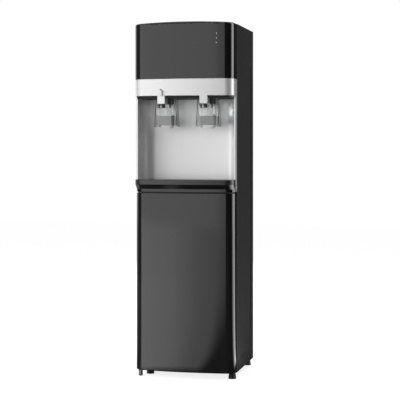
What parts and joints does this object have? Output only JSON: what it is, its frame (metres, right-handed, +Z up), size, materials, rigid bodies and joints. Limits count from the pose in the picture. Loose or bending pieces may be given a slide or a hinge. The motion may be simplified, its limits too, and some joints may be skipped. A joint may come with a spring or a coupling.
{
  "type": "bottom load water cooler",
  "caption": "Tall floor-standing water cooler with a bow-fronted head over an open cup alcove, two push-lever taps, a lift-out drip tray and a hinged door over the bottle space.",
  "frame": {"origin": "on the floor, under the centre of the overall box", "axes": "+Z up, +X to the right seen from the front, -Y out of the front"},
  "size_m": [0.305, 0.3491, 1.061],
  "materials": {
    "gloss_black": "high-gloss black moulded plastic",
    "black_sheet": "satin black powder-coated steel sheet",
    "black_plastic": "matt black moulded plastic",
    "silver_plastic": "satin silver painted plastic",
    "grey_plastic": "satin mid-grey plastic",
    "clear_plastic": "clear moulded plastic",
    "white_plastic": "natural white plastic",
    "stainless": "stainless steel",
    "steel": "zinc-plated steel",
    "black_steel": "black-enamelled steel",
    "copper": "bare copper tube",
    "rubber": "black rubber",
    "silicone": "milky silicone hose",
    "foam": "rigid white foam",
    "board": "green circuit board",
    "lens": "pale light guide"
  },
  "bodies": {
    "cabinet": {"alcove_liner": "silver_plastic", "base_pan": "black_sheet", "bottle_probe": "white_plastic", "bottle_tray": "black_plastic", "cold_tank": "stainless", "cold_tank_foam": "foam", "cold_tap_body": "black_plastic", "compressor": "black_steel", "compressor_grommets": "rubber", "condenser": "black_steel", "condenser_brackets": "steel", "control_board": "board", "control_fascia": "gloss_black", "door_magnet": "black_plastic", "drain_pipe": "white_plastic", "feed_hoses": "silicone", "feet": "black_plastic", "head_underside": "black_plastic", "hot_tank": "stainless", "hot_tank_stand": "steel", "hot_tap_body": "black_plastic", "indicator_board": "board", "indicator_lenses": "lens", "lever_pins": "steel", "lever_springs": "steel", "lower_hinge": "steel", "machine_deck": "black_sheet", "mid_rail": "black_plastic", "power_inlet": "black_plastic", "probe_holder": "black_plastic", "probe_hose": "silicone", "rear_panel": "black_sheet", "refrigerant_lines": "copper", "side_panel_left": "black_sheet", "side_panel_right": "black_sheet", "splash_guards": "clear_plastic", "spout_nozzles": "black_plastic", "switch_plate": "black_plastic", "tap_band": "silver_plastic", "tap_hoses": "silicone", "top_cover": "black_plastic", "upper_hinge": "steel", "upper_shelf": "black_sheet", "water_pump": "black_steel"},
    "door": {"door_panel": "gloss_black", "door_liner": "black_plastic", "door_bushes": "black_plastic", "door_strike": "steel"},
    "hot_lever_arm": {"hot_lever": "clear_plastic", "hot_lever_pad": "grey_plastic", "hot_lever_core": "black_plastic"},
    "cold_lever_arm": {"cold_lever": "clear_plastic", "cold_lever_pad": "grey_plastic", "cold_lever_core": "black_plastic"},
    "child_lock_slider": {"child_lock": "grey_plastic"},
    "tray": {"drip_tray": "black_plastic"},
    "grille": {"drip_grille": "black_plastic"},
    "hot_rocker": {"hot_switch": "black_plastic"},
    "cold_rocker": {"cold_switch": "black_plastic"},
    "drain_plug": {"drain_cap": "white_plastic"}
  },
  "joints": [
    {"name": "door_hinge", "type": "hinge", "parent": "cabinet", "child": "door", "pos_m": [-0.141, -0.1205, 0.29], "axis": [0, 0, -1], "range_deg": [0, 110]},
    {"name": "hot_lever_pivot", "type": "hinge", "parent": "cabinet", "child": "hot_lever_arm", "pos_m": [-0.0645, -0.1255, 0.811], "axis": [1, 0, 0], "range_deg": [0, 12], "stiffness_Nm_per_rad": 0.3, "springref_deg": -11.46},
    {"name": "cold_lever_pivot", "type": "hinge", "parent": "cabinet", "child": "cold_lever_arm", "pos_m": [0.0645, -0.1255, 0.811], "axis": [1, 0, 0], "range_deg": [0, 12], "stiffness_Nm_per_rad": 0.3, "springref_deg": -11.46},
    {"name": "child_lock_slide", "type": "slide", "parent": "cabinet", "child": "child_lock_slider", "axis": [0, 0, 1], "range_m": [0, 0.007], "stiffness_N_per_m": 150, "springref_m": -0.003},
    {"name": "drip_tray_lift", "type": "slide", "parent": "cabinet", "child": "tray", "axis": [0, 0, 1], "range_m": [0, 0.04]},
    {"name": "drip_grille_lift", "type": "slide", "parent": "tray", "child": "grille", "axis": [0, 0, 1], "range_m": [0, 0.03]},
    {"name": "hot_switch_rock", "type": "hinge", "parent": "cabinet", "child": "hot_rocker", "pos_m": [0.096, 0.1545, 0.963], "axis": [1, 0, 0], "range_deg": [-6, 6]},
    {"name": "cold_switch_rock", "type": "hinge", "parent": "cabinet", "child": "cold_rocker", "pos_m": [0.096, 0.1545, 0.937], "axis": [1, 0, 0], "range_deg": [-6, 6]},
    {"name": "drain_cap_pull", "type": "slide", "parent": "cabinet", "child": "drain_plug", "axis": [0, 1, 0], "range_m": [0, 0.015]}
  ]
}
